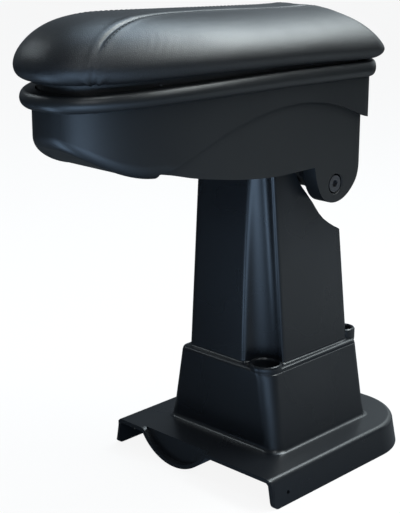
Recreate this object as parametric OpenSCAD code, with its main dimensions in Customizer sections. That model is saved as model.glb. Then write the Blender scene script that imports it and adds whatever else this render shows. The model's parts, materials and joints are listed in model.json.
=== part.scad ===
// Car centre armrest: a padded lid on a storage tub, on a tilting hood and a moulded pedestal.
// X points to the arm's free end, Y to the car's left, Z up. The foot's flanges stand on Z = 0.

/* [Foot] */
// Distance from the column's middle to the foot plate's front edge
foot_front = 81.5; // [76:0.5:95]
// Distance from the column's middle to the foot plate's rear edge
foot_rear = 85; // [80:0.5:100]
// Width of the foot plate across its bends
foot_w = 150; // [136:1:180]
// Height of the foot plate's top above the flanges' lower edges
foot_h = 21; // [19:0.5:30]
// How far each flange leans out at its lower edge
flange_flare = 3.8; // [1:0.1:6]
// Radius of the foot plate's rear corners
foot_corner_r = 44; // [30:1:55]
// Wall of the pedestal moulding
wall = 3; // [2.5:0.1:4]
// Radius of the round trough in the front edge
trough_r = 38; // [34:0.5:42]
// Sideways place of the trough's axis
trough_y = -17.5; // [-22:0.5:-12]
// Length of the trough's body under the plate
trough_l = 42; // [30:1:48]
// Depth of the trough's mouth in front of its end wall
trough_lip = 4; // [3:0.5:8]

/* [Plinth] */
// Length of the plinth along X at its foot
plinth_l = 101; // [98:0.5:108]
// Width of the plinth at its foot
plinth_w = 104; // [100:0.5:112]
// Width of the plinth at its top
plinth_top_w = 84.6; // [83:0.2:92]
// Height of the plinth's top
plinth_h = 79; // [70:0.5:90]
// Distance from the column's middle to the plinth's front face
plinth_front = 49.5; // [48:0.5:53]
// Radius of the plinth's upright corners
plinth_r = 6; // [4:0.5:9]
// Bore of the two console screw holes
console_hole_d = 5.5; // [4.5:0.1:6.5]
// Outer radius of the front screw well's raised rim
well_r = 11.8; // [10.5:0.1:12.5]
// Outer radius of the rear screw well's raised rim
rear_well_r = 8.5; // [7.5:0.5:9.5]
// Height of a well's rim above the plinth's top
well_rise = 2.4; // [1:0.2:4]

/* [Column] */
// Distance from the column's middle to its front face, at the plinth
col_front = 44.5; // [43:0.5:46]
// Distance from the column's middle to its rear face, at the plinth
col_rear = 47.6; // [46.5:0.2:48]
// Width of the column at the plinth
col_w = 76; // [74:0.5:78]
// Height of the column's flat top
col_top = 229; // [226:0.5:232]
// Draft of the column's front face
col_front_draft = 4.3; // [3:0.1:5]
// Draft of the column's rear face
col_rear_draft = 16.2; // [12:0.2:18]
// Draft of each of the column's sides
col_side_draft = 4.3; // [3:0.1:5]
// Radius of the column's upright corners
col_r = 4; // [2:0.5:6]
// Radius of the corner groove at the plinth
groove_r_low = 16.6; // [14:0.2:18]
// Radius of the corner groove at the top
groove_r_high = 14; // [11:0.2:15]

/* [Pivot] */
// Distance of the arm pivot behind the column's middle
pivot_back = 14.6; // [13.8:0.2:15.2]
// Height of the arm pivot
pivot_z = 204; // [203.4:0.2:205]
// Diameter of the pivot bolt's shank
bolt_d = 8; // [6:0.5:9]
// Running clearance of the bolt in its bushes, on the radius
run_gap = 0.06; // [0.03:0.01:0.09]
// Clearance between fixed neighbours
fit_gap = 0.15; // [0.1:0.05:0.3]
// Clearance between pieces that move past each other
move_gap = 0.3; // [0.25:0.05:0.5]
// Diameter of the bolt's head
head_d = 12; // [11:0.5:13]
// Depth of the recess that holds the head or the nut
recess_depth = 5; // [4:0.5:6]
// Thickness of the steel bracket
steel_t = 3; // [2.5:0.1:3.5]
// Outer width of the steel bracket's cheeks
bracket_w = 65; // [63:0.5:66]
// Radius of the cheeks around the pivot
cheek_r = 10; // [9:0.5:11]
// Wall of a pivot bush
bush_t = 1.5; // [1:0.1:2]
// Thickness of a bush flange
bush_flange_t = 1.5; // [1:0.1:2]
// Height of the rubber stop pad
pad_h = 3.7; // [3:0.1:5]

/* [Hood] */
// Thickness of the hood's walls
hood_t = 3; // [2.5:0.1:3.5]
// Distance of the hood's rear face behind the column's middle
hood_rear = 48.5; // [47:0.5:50]
// Thickness of a pivot ear
ear_t = 11.7; // [11:0.1:11.8]
// Thickness of the hood's level web
web_t = 3; // [2.5:0.1:4]
// Where the hood ends and the tub's closed nose begins
nose_wall_x = 148; // [140:1:154]

/* [Tub] */
// Half width of the tub's skin under the rim
tub_half_w = 50; // [48:0.5:54]
// Distance from the column's middle to the tub's nose
tub_nose = 203.5; // [190:0.5:220]
// Distance from the column's middle to the tub's rear wall
tub_rear = 55; // [52:0.5:58]
// Where the straight sides end and the nose begins
nose_start = 44; // [30:1:60]
// Fullness of the nose, where 2 is an ellipse
nose_power = 2.5; // [2:0.1:3.2]
// Radius of the tub's rear corners
tub_rear_r = 15; // [10:0.5:20]
// Height of the crease under the rim bead
crease_z = 279.5; // [276:0.5:284]
// Height of the rim bead
bead_h = 11; // [9:0.5:12]
// Overhang of the bead at the nose
bead_out = 7.5; // [5:0.1:8]
// Overhang of the bead at the rear, as a share of that at the nose
bead_rear_share = 0.6; // [0.4:0.05:1]
// Thickness of the tub's skin
skin_t = 2.5; // [2.2:0.1:3]
// Lowest point of the tub's keel
keel_z = 232.5; // [231:0.5:234]
// Rise of the underside from the keel to the nose
nose_rise = 19.5; // [14:0.5:24]
// Clearance of the mat inside the tub
mat_gap = 1; // [0.5:0.1:2]
// Thickness of the mat
mat_t = 2; // [1:0.1:3]

/* [Lid] */
// Height of the closed lid base above the rim
lid_gap = 1.2; // [0.8:0.1:2]
// Thickness of the lid base and of the pad board
board_t = 3; // [2.5:0.1:4]
// Depth of the skirt that centres the lid base in the tub
skirt_h = 7; // [4:0.5:9]
// Distance of the lid hinge behind the column's middle
lid_hinge_back = 64; // [63.5:0.1:66]
// Diameter of the lid hinge pin
lid_pin_d = 3; // [2.5:0.1:3.4]
// Radius of the hinge knuckles
knuckle_r = 3; // [2.8:0.1:3.4]
// Overhang of the padded cover over the tub's skin
pad_out = 10.6; // [9:0.1:12]
// Height of the padded cover at the rear
pad_h_rear = 31; // [26:0.5:36]
// Height of the padded cover at the nose
pad_h_nose = 35.5; // [30:0.5:42]
// How much higher the cover's lower edge lies at the nose than at the rear
pad_edge_rise = 4.5; // [2:0.1:5.5]
// Thickness of the leatherette cover with its scrim
cover_t = 1.6; // [1.2:0.1:2.4]

/* [Hidden] */
$fn = 48;
EPS = 0.01;
press_gap = 0.02;
// The object's own origin lies under the middle of its whole length
frame_x = (tub_nose + pad_out - foot_rear - flange_flare) / 2;
// Levels and places inside the foot
plate_z = foot_h - wall;
trough_z = trough_r + 0.5;
plinth_rear = plinth_l - plinth_front;
console_front = plinth_front - well_r - 0.2;
console_rear = plinth_rear - 1;
console_y = plinth_top_w / 2 - well_r + 0.3;
console_r = console_hole_d / 2;
well_floor_z = plinth_h - 4;
bend_r = 4;
// Inside of the column, whose top deck carries the steel bracket
deck_t = 5;
deck_boss_h = 15;
deck_boss_r = 5;
scallop_front = 16;
deck_screw_x = [22, 33];
deck_screw_y = 22;
deck_screw_r = 2;
// The steel bracket and the pivot
px = -pivot_back;
bracket_top = col_top + steel_t;
bracket_half = bracket_w / 2;
bracket_front = 38;
bolt_r = bolt_d / 2;
bore_r = bolt_r + run_gap;
bush_r = bore_r + bush_t;
bush_flange_r = bush_r + 2.6;
sleeve_half = bracket_half - steel_t - 0.6;
// Levels from the bracket up to the tub's floor
web_z = bracket_top + pad_h + move_gap;
floor_z = web_z + web_t + fit_gap;
floor_t = 2.6;
hood_inset = skin_t + fit_gap;
box_inset = hood_inset + hood_t + fit_gap;
ear_outer = tub_half_w - hood_inset;
ear_inner = ear_outer - ear_t;
recess_r = head_d / 2 + 0.7;
nut_r = 7;
pocket_z = 268;
ledge_z = pocket_z + 2.5;
hood_screw_x = [60, 100];
hood_screw_y = 18;
// Levels of the rim and the lid
rim_z = crease_z + bead_h;
lid_z = rim_z + lid_gap;
board_z = lid_z + board_t;
foam_z = board_z + board_t;
cover_z = rim_z + 0.9;
lid_px = -lid_hinge_back;
lid_pz = cover_z - knuckle_r - move_gap;
lid_leaf_x = -tub_rear + skin_t - 0.6;
lid_pin_r = lid_pin_d / 2;
knuckle_half = 30;
lug_t = 6;
half_n = 32;
// The arch that the tub's skin leaves over the hood, from the nose wall back to the rear
arch = [[148.1, 235.7], [140, 237.7], [129, 242.9], [117, 248], [104, 254], [89, 258.5], [70.6, 262.7],
    [51.6, 265.8], [30.5, 266.3], [14.6, 265.3], [-6.5, 261.3], [-22, 256.4], [-35, 250.8], [-43.4, 247.5],
    [-48, 247]];
// The hood's lower edge, from its front end back to the pivot ears
hood_low = [[148, 236], [138, 234.3], [125, 230.3], [106, 227], [88, 223.7], [57, 219.9], [38, 219.2],
    [9, 219.2]];
// The pivot ear's outline round the pivot, from its front edge to its rear
ear_low = [[23.6, 15.2], [21, 4.5], [17, -4.5], [12.5, -9.5], [7, -12.4], [1.5, -13.2], [-4, -13],
    [-10, -11.2], [-16, -7.4], [-22, -1.2], [-27, 7], [-30.5, 16], [-32.8, 27]];
// The hollow at the column's rear top, which lets the raised arm swing past
scallop = [[16, 240], [15.4, 226], [14, 216], [10.9, 209.2], [1.8, 198.2], [-5.1, 190.3], [-12.1, 181.3],
    [-23, 172.4], [-34.1, 166.3], [-38.1, 162.5], [-60, 161], [-60, 240]];

function clamp01(t) = min(1, max(0, t));
function mix(a, b, t) = a + (b - a) * t;

// Half an outline of the tub's plan, d inside its skin: the nose's tip, the side, the rear corner
function side_pts(d, xr, rr) = let (a = tub_nose - nose_start - d, b = tub_half_w - d, r = max(rr, 0.6)) concat(
    [for (i = [0 : half_n]) let (t = 90 * i / half_n)
        [nose_start + a * pow(max(cos(t), 0), 2 / nose_power), b * pow(sin(t), 2 / nose_power)]],
    [for (i = [0 : 8]) let (t = 90 * i / 8) [-xr + r - r * sin(t), b - r + r * cos(t)]]);
// The whole outline, counter-clockwise, its two sides in step
function plan_pts(d, xr, rr) = let (s = side_pts(d, xr, rr), m = len(s)) concat(
    s, [for (i = [m - 1 : -1 : 1]) [s[i][0], -s[i][1]]]);
function tub_plan(d) = plan_pts(d, tub_rear - d, tub_rear_r - d);
function hood_plan(d) = plan_pts(d, hood_rear + hood_inset - d, 13 + hood_inset - d);
function at_z(pts, z) = [for (p = pts) [p[0], p[1], z]];

// A skin over rings of equal length. Its end faces are strips between the two sides of a plan outline,
// or with flat set one level face each.
module loft(rings, flat = false) {
    n = len(rings[0]);
    m = len(rings);
    h = (n - 1) / 2;
    o = (m - 1) * n;
    polyhedron(points = [for (r = rings) for (p = r) p], faces = concat(
        [for (j = [0 : m - 2]) for (i = [0 : n - 1]) let (k = (i + 1) % n)
            [j * n + i, (j + 1) * n + i, j * n + k]],
        [for (j = [0 : m - 2]) for (i = [0 : n - 1]) let (k = (i + 1) % n)
            [j * n + k, (j + 1) * n + i, (j + 1) * n + k]],
        flat ? [[for (i = [0 : n - 1]) i], [for (i = [n - 1 : -1 : 0]) o + i]] : concat(
            [[0, 1, n - 1], [o + n - 1, o + 1, o]],
            [for (i = [1 : h - 1]) [i, i + 1, n - i - 1, n - i]],
            [for (i = [1 : h - 1]) [o + n - i, o + n - i - 1, o + i + 1, o + i]])));
}

// A straight wall over an outline
module prism(pts, z0, z1) {
    translate([0, 0, z0]) linear_extrude(z1 - z0) polygon(pts);
}

// A slab across the object over a side-view outline
module side_slab(pts, y0, y1) {
    translate([0, y1, 0]) rotate([90, 0, 0]) linear_extrude(y1 - y0) polygon(pts);
}

// A box between two corners
module span(a, b) {
    translate(a) cube([b[0] - a[0], b[1] - a[1], b[2] - a[2]]);
}

// A round bar along Y
module y_rod(x, z, r, y0, y1) {
    translate([x, y1, z]) rotate([90, 0, 0]) cylinder(r = r, h = y1 - y0);
}

// A tapered block with rounded upright corners over levels of [rear x, front x, half width, z].
// Its near front corner may have a rounding of its own.
module draft_block(levels, r, near_r = 0) {
    n = max(r, near_r);
    hull() for (s = levels) translate([0, 0, s[3]]) linear_extrude(EPS) {
        for (y = [-s[2] + r, s[2] - r]) translate([s[0] + r, y]) circle(r, $fn = 32);
        translate([s[1] - r, -s[2] + r]) circle(r, $fn = 32);
        translate([s[1] - n, s[2] - n]) circle(n, $fn = 32);
    }
}

// Everything is drawn about the column's middle and then moved to the object's origin
module placed() {
    translate([-frame_x, 0, 0]) children();
}

// Foot outline, d outside the plate, whose front edge is straight and whose rear corners are round
function foot_pts(d, front) = let (b = foot_w / 2 + d, xr = -foot_rear - d, r = foot_corner_r + d) concat(
    [[front, b]],
    [for (i = [0 : 10]) let (t = 90 * i / 10) [xr + r - r * sin(t), b - r + r * cos(t)]],
    [for (i = [10 : -1 : 0]) let (t = 90 * i / 10) [xr + r - r * sin(t), -b + r - r * cos(t)]],
    [[front, -b]]);
function foot_d(z) = flange_flare * (foot_h - z) / foot_h;

module foot_outside() {
    z0 = foot_h - bend_r;
    loft([at_z(foot_pts(flange_flare, foot_front), 0), at_z(foot_pts(foot_d(z0), foot_front), z0),
        for (t = [30, 60, 90]) at_z(foot_pts(foot_d(z0) - bend_r * (1 - cos(t)), foot_front), z0 + bend_r * sin(t))], true);
}
module foot_inside() {
    f = foot_front + 5;
    loft([at_z(foot_pts(flange_flare - wall + 0.2, f), -1), at_z(foot_pts(foot_d(plate_z - 1) - wall, f), plate_z - 1),
        at_z(foot_pts(foot_d(plate_z) - wall - 1, f), plate_z)], true);
}
// The trough's half pipe, r round its axis, between two places along X
module trough_pipe(r, x0, x1) {
    translate([x0, trough_y, trough_z]) rotate([0, 90, 0]) cylinder(r = r, h = x1 - x0);
}
function col_x_front(z) = col_front - col_front_draft * (z - plinth_h) / (col_top - plinth_h);
function col_x_rear(z) = -col_rear + col_rear_draft * (z - plinth_h) / (col_top - plinth_h);
function col_half(z) = col_w / 2 - col_side_draft * (z - plinth_h) / (col_top - plinth_h);
function col_level(z, d) = [col_x_rear(z) + d, col_x_front(z) - d, col_half(z) - d, z];
// The slanting round cutter of the near front corner
module groove(d, z0) {
    hull() {
        translate([col_front - 1.2, col_w / 2 - 3.8, z0]) cylinder(r = groove_r_low + d, h = EPS);
        translate([col_front + 6.5, col_w / 2 - 10.8, col_top + 5]) cylinder(r = groove_r_high + d, h = EPS);
    }
}
module deck_holes(r, z0, z1) {
    for (x = deck_screw_x, y = [-deck_screw_y, deck_screw_y]) translate([x, y, z0]) cylinder(r = r, h = z1 - z0);
}

// A screw well: a raised rim whose boss tapers away into the plinth's corner
module well_boss(x, r, rise) {
    translate([x, console_y, plinth_h - 22]) cylinder(r1 = r - 6, r2 = r, h = 20);
    translate([x, console_y, plinth_h - 2 - EPS]) cylinder(r = r, h = rise + 2);
}

module pedestal() {
    color("#20242b") placed() difference() {
        union() {
            difference() {
                union() {
                    difference() {
                        union() {
                            foot_outside();
                            draft_block([[-plinth_rear - 3.5, plinth_front, plinth_w / 2, foot_h - 1],
                                [-plinth_rear - 2.2, plinth_front - 0.2, plinth_top_w / 2 + 0.4, plinth_h - 3],
                                [-plinth_rear, plinth_front - 3, plinth_top_w / 2 - 2, plinth_h]], plinth_r, well_r);
                        }
                        foot_inside();
                        draft_block([[-plinth_rear - 0.5, plinth_front - wall, plinth_w / 2 - wall, foot_h - wall - 1],
                            [-plinth_rear + 1.5, plinth_front - wall - 0.5, plinth_top_w / 2 - wall, plinth_h - wall]],
                            plinth_r - wall);
                    }
                    difference() {
                        draft_block([col_level(plinth_h - 1, 0), col_level(col_top - EPS, 0)], col_r);
                        groove(0, plinth_h - 2);
                    }
                }
                difference() {
                    draft_block([col_level(plinth_h - wall - 1, wall), col_level(col_top - deck_t, wall)], 2);
                    groove(wall, plinth_h - wall - 2);
                    side_slab([for (p = scallop) [p[0] + 2.2, p[1] - 2.2]], -60, 60);
                }
                side_slab(scallop, -60, 60);
            }
            intersection() {
                difference() {
                    trough_pipe(trough_r, foot_front - trough_l, foot_front);
                    trough_pipe(trough_r - wall, foot_front - trough_l - 1, foot_front - trough_lip - wall);
                }
                span([0, -70, 0], [foot_front, 70, foot_h]);
            }
            deck_holes(deck_boss_r, col_top - deck_boss_h, col_top - 1);
            well_boss(console_front, well_r, well_rise);
            well_boss(-console_rear, rear_well_r, well_rise + 2);
        }
        trough_pipe(trough_r - wall, foot_front - trough_lip, foot_front + 1);
        deck_holes(deck_screw_r + 0.05, col_top - deck_boss_h - 1, col_top + 1);
        for (x = [console_front, -console_rear])
            translate([x, console_y, well_floor_z - 24]) cylinder(r = console_r, h = 36);
        translate([console_front, console_y, well_floor_z]) cylinder(r = well_r - 3.2, h = 12);
        translate([-console_rear, console_y, well_floor_z]) cylinder(r = rear_well_r - 4, h = 14);
        // Rounded lower front corners of the flanges
        for (y = [-foot_w, foot_w / 2 - 6]) difference() {
            span([foot_front - 5, y, -1], [foot_front + 1, y + foot_w / 2 + 6, 5]);
            y_rod(foot_front - 5, 5, 5, y - 1, y + foot_w);
        }
        for (y = [-1, 1]) translate([foot_front - 16, y * (foot_w / 2 + 8), 8]) rotate([90 * y, 0, 0])
            cylinder(r = 1.4, h = 16);
    }
}

// The cheek of the bracket: a plate that reaches back and down from the web to the pivot
module cheek(y0, y1) {
    c = cheek_r * 0.7071;
    side_slab([[px - cheek_r, bracket_top - EPS], [9, bracket_top - EPS], [9, pivot_z + 9 - px - 2 * c],
        [px + c, pivot_z - c], [px, pivot_z], [px - cheek_r, pivot_z]], y0, y1);
    y_rod(px, pivot_z, cheek_r, y0, y1);
}
module hinge_bracket() {
    color("#8d9298") placed() difference() {
        union() {
            span([px - cheek_r, -bracket_half, col_top], [bracket_front, bracket_half, bracket_top]);
            for (s = [-1, 1]) cheek(min(s * bracket_half, s * (bracket_half - steel_t)),
                max(s * bracket_half, s * (bracket_half - steel_t)));
        }
        y_rod(px, pivot_z, bush_r + press_gap, -bracket_half - 1, bracket_half + 1);
        deck_holes(deck_screw_r + 0.3, col_top - 1, bracket_top + 1);
    }
}
module bracket_screws() {
    color("#b9bcc0") placed() {
        deck_holes(deck_screw_r, col_top - 12, bracket_top + 1);
        difference() {
            deck_holes(4, bracket_top, bracket_top + 2.4);
            deck_holes(1.6, bracket_top + 1.2, bracket_top + 3);
        }
    }
}
module stop_pad() {
    color("#101010") placed() translate([24, 0, bracket_top]) {
        cylinder(r = 11, h = pad_h - 1);
        translate([0, 0, pad_h - 1]) cylinder(r1 = 11, r2 = 9.8, h = 1);
    }
}
module pivot_bushes() {
    color("#d8d4c4") placed() for (s = [-1, 1]) scale([1, s, 1]) difference() {
        union() {
            y_rod(px, pivot_z, bush_r, bracket_half - steel_t - 0.5, bracket_half + EPS);
            y_rod(px, pivot_z, bush_flange_r, bracket_half, bracket_half + bush_flange_t);
        }
        y_rod(px, pivot_z, bore_r, 0, bracket_half + 9);
    }
}
module spacer_sleeve() {
    color("#9ea3a8") placed() difference() {
        y_rod(px, pivot_z, bush_r, -sleeve_half, sleeve_half);
        y_rod(px, pivot_z, bolt_r + fit_gap, -sleeve_half - 1, sleeve_half + 1);
    }
}

function hood_side() = concat([[nose_wall_x - fit_gap, hood_low[0][1]]], [for (i = [1 : len(hood_low) - 1]) hood_low[i]],
    [for (p = ear_low) [px + p[0], pivot_z + p[1]]], [[-hood_rear - 1, web_z], [-hood_rear - 1, pocket_z - fit_gap],
    [nose_wall_x - fit_gap, pocket_z - fit_gap]]);
module hood_bolts(r, z0, z1) {
    for (x = hood_screw_x, y = [-hood_screw_y, hood_screw_y]) translate([x, y, z0]) cylinder(r = r, h = z1 - z0);
}
module hood() {
    color("#15171a") placed() difference() {
        intersection() {
            prism(hood_plan(hood_inset), 180, pocket_z);
            union() {
                // Side plates and their ears
                difference() {
                    side_slab(hood_side(), -60, 60);
                    prism(hood_plan(hood_inset + hood_t), 219, 300);
                    span([-hood_rear + hood_t, -ear_inner, 150], [nose_wall_x, ear_inner, 300]);
                    intersection() {
                        prism(hood_plan(hood_inset + hood_t), 150, 300);
                        span([9, -80, 150], [nose_wall_x + 1, 80, 300]);
                    }
                    span([-100, -ear_inner, 150], [0, ear_inner, 219]);
                }
                // Ear blocks from the plates' inside up to the web
                for (s = [-1, 1]) intersection() {
                    side_slab(hood_side(), -60, 60);
                    scale([1, s, 1]) span([-hood_rear, ear_inner, 180], [9, ear_outer, web_z + web_t]);
                }
                span([-hood_rear, -60, web_z], [nose_wall_x - fit_gap, 60, web_z + web_t]);
                hood_bolts(5, web_z - 7, web_z + EPS);
            }
        }
        y_rod(px, pivot_z, bolt_r + fit_gap, -60, 60);
        y_rod(px, pivot_z, recess_r, ear_outer - recess_depth, 60);
        y_rod(px, pivot_z, nut_r + 0.9, -60, -ear_outer + recess_depth);
        hood_bolts(1.75, web_z - 8, web_z + web_t + 1);
    }
}
module pivot_bolt() {
    color("#2a2c30") placed() difference() {
        union() {
            y_rod(px, pivot_z, bolt_r, -ear_outer + 0.6, ear_outer - recess_depth + 1);
            y_rod(px, pivot_z, head_d / 2, ear_outer - recess_depth, ear_outer - 0.8);
        }
        translate([px, ear_outer, pivot_z]) rotate([90, 0, 0]) cylinder(r = 2.9, h = 3.4, $fn = 6);
    }
}
module pivot_nut() {
    color("#9ea3a8") placed() translate([px, -ear_outer + recess_depth, pivot_z]) rotate([90, 0, 0]) difference() {
        cylinder(r = nut_r, h = recess_depth - 0.8, $fn = 6);
        translate([0, 0, -1]) cylinder(r = bolt_r + press_gap, h = recess_depth + 2);
    }
}
module pivot_washers() {
    y0 = bracket_half + bush_flange_t + move_gap;
    color("#c4c7cb") placed() for (s = [-1, 1]) scale([1, s, 1]) difference() {
        y_rod(px, pivot_z, bush_flange_r, y0, ear_inner - 0.05);
        y_rod(px, pivot_z, bolt_r + fit_gap, y0 - 1, ear_inner + 1);
    }
}

// The closed nose's underside, and how far the chine's rounding is blended in along the tub
function keel(x) = x < nose_wall_x + 4 ? keel_z
    : keel_z + nose_rise * pow(clamp01((x - nose_wall_x - 4) / (tub_nose - nose_wall_x - 4)), 1.9);
function chine(x) = clamp01((x - nose_wall_x + 16) / 16);
function chine_ring(d, h) = let (p = tub_plan(0), q = tub_plan(d)) [for (i = [0 : len(p) - 1])
    let (c = chine(p[i][0]), x = mix(p[i][0], q[i][0], c)) [x, mix(p[i][1], q[i][1], c), keel(x) + h]];
function nose_ring(d, h) = [for (p = tub_plan(skin_t + d)) [p[0], p[1], keel(p[0]) + skin_t + h]];
// The bead stands out less along the sides and the rear than at the nose
function bead_ring(f, z) = let (o = bead_out * f, p = tub_plan(0),
    q = plan_pts(-o * 0.82, tub_rear + o * bead_rear_share, tub_rear_r))
    [for (i = [0 : len(p) - 1]) [q[i][0] + (p[i][0] > nose_start ? o * 0.18 : 0), q[i][1], z]];

module tub_mouth(d, z0, z1) {
    prism(tub_plan(d), z0, z1);
}
module lid_notch(extra) {
    span([lid_px - 20, -knuckle_half - extra, lid_pz - knuckle_r - extra],
        [lid_leaf_x + extra + 2, knuckle_half + extra, rim_z + 5]);
}
module tub() {
    color("#17191c") placed() difference() {
        union() {
            // Lugs that carry the lid's hinge pin
            for (s = [-1, 1]) scale([1, s, 1]) {
                y_rod(lid_px, lid_pz, knuckle_r, knuckle_half + move_gap, knuckle_half + lug_t);
                span([lid_px, knuckle_half + move_gap, lid_pz - knuckle_r],
                    [-tub_rear + 1, knuckle_half + lug_t, lid_pz + knuckle_r - 1]);
            }
            difference() {
                union() {
                    loft([chine_ring(9, 0), chine_ring(6, 1.1), chine_ring(2.6, 3.6), chine_ring(0.7, 7), chine_ring(0, 11),
                        at_z(tub_plan(0), crease_z + 0.5)]);
                    loft([bead_ring(-0.1, crease_z - 2), bead_ring(0, crease_z), bead_ring(0.5, crease_z + bead_h * 0.18),
                        bead_ring(0.82, crease_z + bead_h * 0.4), bead_ring(1, crease_z + bead_h * 0.66),
                        bead_ring(0.85, crease_z + bead_h * 0.9), bead_ring(0.62, rim_z)]);
                }
                // Room for the hood under the arch, and the arch itself
                difference() {
                    intersection() {
                        prism(tub_plan(skin_t), 200, pocket_z);
                        span([-100, -80, 200], [nose_wall_x, 80, 300]);
                    }
                    prism(hood_plan(box_inset), floor_z, 300);
                }
                difference() {
                    side_slab(concat(arch, [[-80, 247], [-80, 200], [nose_wall_x + 0.1, 200]]), -90, 90);
                    prism(hood_plan(box_inset), floor_z, 300);
                }
                span([-90, -80, 200], [-hood_rear - hood_inset + box_inset + 0.01, 80, 247]);
            }
        }
        tub_mouth(skin_t, ledge_z, rim_z + 9);
        intersection() {
            prism(hood_plan(box_inset + floor_t), floor_z + floor_t, 300);
            span([-100, -80, 200], [nose_wall_x + skin_t + 1, 80, 300]);
        }
        intersection() {
            loft([nose_ring(8, 0), nose_ring(4, 1.6), nose_ring(1.5, 4), nose_ring(0, 9),
                at_z(tub_plan(skin_t), rim_z + 9)]);
            span([nose_wall_x + skin_t, -80, 200], [300, 80, 300]);
        }
        hood_bolts(2.1, floor_z - 1, floor_z + floor_t + 1);
        lid_notch(move_gap);
        y_rod(lid_px, lid_pz, lid_pin_r + press_gap, -knuckle_half - lug_t - 5, knuckle_half + lug_t + 5);
    }
}
module hood_screws() {
    color("#b9bcc0") placed() {
        hood_bolts(1.7, floor_z - 8, floor_z + floor_t + 0.5);
        hood_bolts(3.6, floor_z + floor_t, floor_z + floor_t + 1.6);
    }
}
module tub_mat() {
    z0 = floor_z + floor_t + 1.8;
    color("#0e0f10") placed() difference() {
        intersection() {
            prism(hood_plan(box_inset + floor_t + mat_gap), z0, z0 + mat_t);
            span([-100, -80, 200], [nose_wall_x - 2, 80, 300]);
        }
    }
}
module lid_hinge_pin() {
    color("#b9bcc0") placed() y_rod(lid_px, lid_pz, lid_pin_r, -knuckle_half - lug_t, knuckle_half + lug_t);
}
module lid_base() {
    color("#1b1d20") placed() difference() {
        union() {
            prism(tub_plan(0.5), lid_z, board_z);
            difference() {
                tub_mouth(skin_t + 1, lid_z - skirt_h, lid_z + EPS);
                tub_mouth(skin_t + 3.4, lid_z - skirt_h - 1, lid_z + 1);
                span([-90, -80, 200], [-tub_rear + tub_rear_r + 4, 80, 400]);
            }
            y_rod(lid_px, lid_pz, knuckle_r, -knuckle_half, knuckle_half);
            span([lid_px, -knuckle_half, lid_pz - 1], [lid_leaf_x, knuckle_half, cover_z - 0.2]);
            span([-tub_rear - 3, -knuckle_half, cover_z - 1], [lid_leaf_x + 4, knuckle_half, board_z]);
        }
        y_rod(lid_px, lid_pz, lid_pin_r + run_gap, -80, 80);
        lid_screw_holes(1.6, lid_z - 1, board_z + 1);
    }
}
module lid_screw_holes(r, z0, z1) {
    for (x = [-25, 60, 145], y = [-30, 30]) translate([x, y, z0]) cylinder(r = r, h = z1 - z0);
}
module lid_buffers() {
    color("#0e0f10") placed() for (y = [-1, 1]) {
        translate([20, y * (tub_half_w + 1), rim_z]) cylinder(r = 1, h = 0.9);
        translate([150, y * (tub_half_w - 7), rim_z]) cylinder(r = 1, h = 0.9);
    }
}
module lid_screws() {
    color("#b9bcc0") placed() {
        lid_screw_holes(1.5, lid_z - EPS, foam_z - 0.6);
        lid_screw_holes(3, lid_z - 1.8, lid_z);
    }
}
module pad_board() {
    color("#1d1d1f") placed() difference() {
        prism(plan_pts(-3, tub_rear + 4, tub_rear_r + 3), board_z, foam_z);
        lid_screw_holes(1.5 + press_gap, board_z - 1, foam_z + 1);
    }
}
// The padded cover's section, as height over its lower edge and overhang past the tub's skin
pad_rings = [[0, 2.2], [0, 6], [3, 9], [9, 10], [16, 8.5], [23, 3.5], [29, -5], [33, -16], [35.5, -30], [36, -44]];
function pad_t(x) = clamp01((x + lid_hinge_back) / (tub_nose + lid_hinge_back));
function pad_ring(h, o, d) = let (k = o * pad_out / 10 - d) [for (p = plan_pts(-k, tub_rear + k, tub_rear_r + max(k, -12)))
    [p[0], p[1], cover_z + pad_edge_rise * pad_t(p[0]) + (h * mix(pad_h_rear, pad_h_nose, pad_t(p[0])) / 36 - d)]];
module pad_cover() {
    color("#111214") placed() difference() {
        loft([for (r = pad_rings) pad_ring(r[0], r[1], 0)]);
        prism(plan_pts(-3 - fit_gap, tub_rear + 4 + fit_gap, tub_rear_r + 3), 200, foam_z + fit_gap);
        loft([for (r = pad_rings) pad_ring(r[0], r[1], cover_t)]);
    }
}
module foam_pad() {
    color("#5a5a5e") placed() difference() {
        loft([for (r = pad_rings) pad_ring(r[0], r[1], cover_t + 0.05)]);
        span([-200, -200, 0], [400, 200, foam_z + 0.05]);
        lid_screw_holes(3, foam_z - 3, foam_z + 3);
    }
}

pedestal();
hinge_bracket();
bracket_screws();
stop_pad();
pivot_bushes();
spacer_sleeve();
hood();
pivot_bolt();
pivot_nut();
pivot_washers();
tub();
hood_screws();
tub_mat();
lid_hinge_pin();
lid_base();
lid_buffers();
lid_screws();
pad_board();
foam_pad();
pad_cover();
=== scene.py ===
import json
import math
import bmesh
import bpy
import numpy as np
from mathutils import Matrix, Vector


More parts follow.
